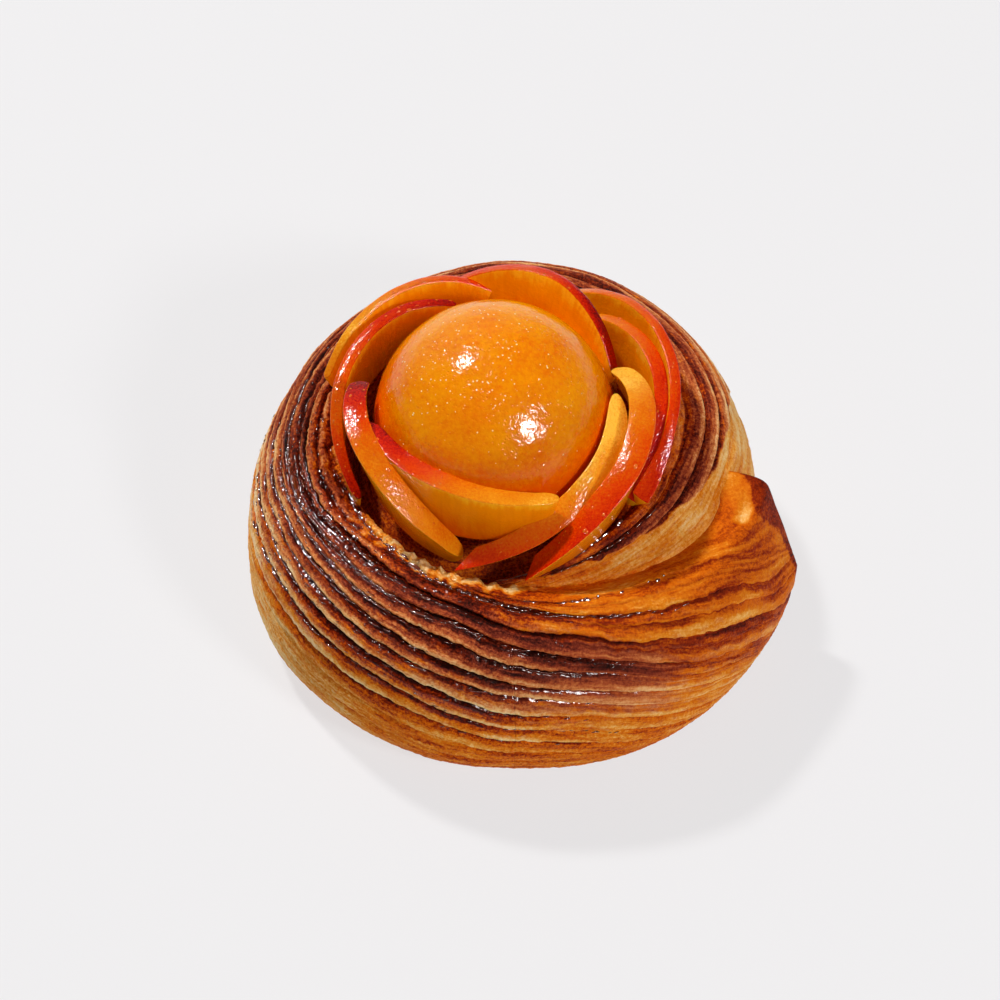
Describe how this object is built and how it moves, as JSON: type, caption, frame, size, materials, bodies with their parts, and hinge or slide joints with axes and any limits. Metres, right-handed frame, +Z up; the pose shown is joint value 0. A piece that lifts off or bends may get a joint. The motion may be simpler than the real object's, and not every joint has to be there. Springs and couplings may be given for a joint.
{
  "type": "apricot danish pastry",
  "caption": "Coiled laminated danish pastry with a glazed apricot in its centre and a rose of thin apricot slices round it.",
  "frame": {"origin": "on the table under the middle of the whole pastry's box", "axes": "+Z up, -Y towards the viewer in the picture, with the loose end of the coil at +X"},
  "size_m": [0.1056, 0.1014, 0.0705],
  "materials": {
    "crust": "baked laminated crust, golden brown to dark, with thin syrup in its grooves",
    "glazed_apricot": "peeled apricot under a clear speckled glaze",
    "apricot_slice": "fresh apricot slice, blushed skin edge and orange flesh, lightly glazed"
  },
  "bodies": {
    "root": {"pastry": "crust", "apricot": "glazed_apricot", "apricot_slice_1": "apricot_slice", "apricot_slice_2": "apricot_slice", "apricot_slice_3": "apricot_slice", "apricot_slice_4": "apricot_slice", "apricot_slice_5": "apricot_slice", "apricot_slice_6": "apricot_slice", "apricot_slice_7": "apricot_slice", "apricot_slice_8": "apricot_slice", "apricot_slice_9": "apricot_slice"}
  },
  "joints": []
}
